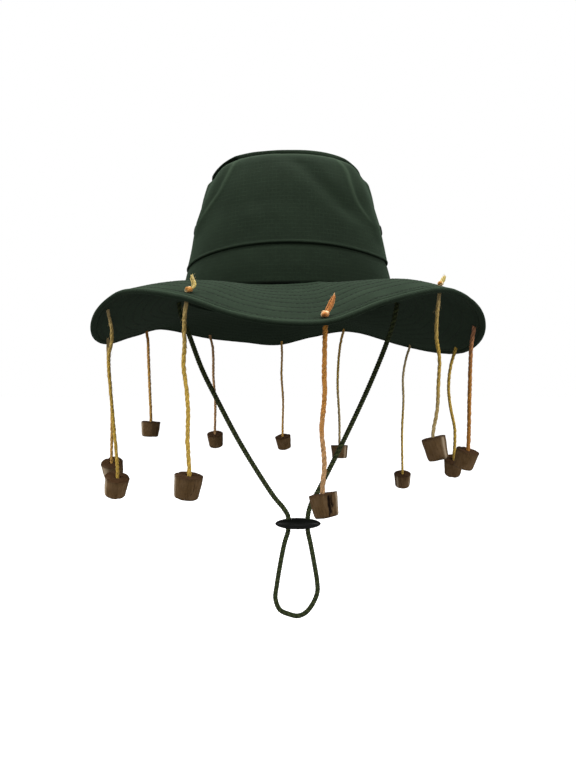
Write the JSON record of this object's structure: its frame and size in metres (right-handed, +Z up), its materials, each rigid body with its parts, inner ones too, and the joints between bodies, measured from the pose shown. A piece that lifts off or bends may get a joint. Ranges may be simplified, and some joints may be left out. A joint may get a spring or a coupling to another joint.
{
  "type": "cork hat",
  "caption": "Green ripstop bush hat with a flat-topped crown and a waved brim, corks hanging from the rim on strings, and a braided chin cord with an oval toggle.",
  "frame": {"origin": "middle of the head opening, where crown and brim meet", "axes": "+Z up out of the crown, -Y to the front of the hat, +X to the wearer's left; metres, right-handed, +Z up"},
  "size_m": [0.3112, 0.3473, 0.3734],
  "materials": {
    "ripstop_cloth": "dark green ripstop cotton with a fine raised grid, matt",
    "edge_cloth": "rolled and stitched hem of the same dark green cloth, matt",
    "dark_metal": "small blackened vent eyelets",
    "yellow_yarn": "loosely twisted yellow to olive yarn",
    "orange_yarn": "loosely twisted orange to rust yarn",
    "cork": "dark walnut-stained cork with upright cracks, matt",
    "braided_cord": "dark olive braid with paler flecks",
    "black_plastic": "black moulded toggle, half gloss"
  },
  "bodies": {
    "root": {"crown_tip": "ripstop_cloth", "crown_side": "ripstop_cloth", "hat_band": "ripstop_cloth", "eyelet_left": "dark_metal", "eyelet_right": "dark_metal", "brim": "ripstop_cloth", "brim_edge": "edge_cloth", "string_01": "yellow_yarn", "knot_01": "yellow_yarn", "cork_01": "cork", "string_02": "yellow_yarn", "knot_02": "yellow_yarn", "cork_02": "cork", "string_03": "yellow_yarn", "knot_03": "yellow_yarn", "cork_03": "cork", "string_04": "yellow_yarn", "knot_04": "yellow_yarn", "cork_04": "cork", "string_05": "orange_yarn", "knot_05": "orange_yarn", "cork_05": "cork", "string_06": "orange_yarn", "knot_06": "orange_yarn", "cork_06": "cork", "string_07": "orange_yarn", "knot_07": "orange_yarn", "cork_07": "cork", "string_08": "yellow_yarn", "knot_08": "yellow_yarn", "cork_08": "cork", "string_09": "yellow_yarn", "knot_09": "yellow_yarn", "cork_09": "cork", "string_10": "yellow_yarn", "knot_10": "yellow_yarn", "cork_10": "cork", "string_11": "yellow_yarn", "knot_11": "yellow_yarn", "cork_11": "cork", "string_12": "orange_yarn", "knot_12": "orange_yarn", "cork_12": "cork", "chin_cord": "braided_cord", "toggle": "black_plastic"}
  },
  "joints": []
}
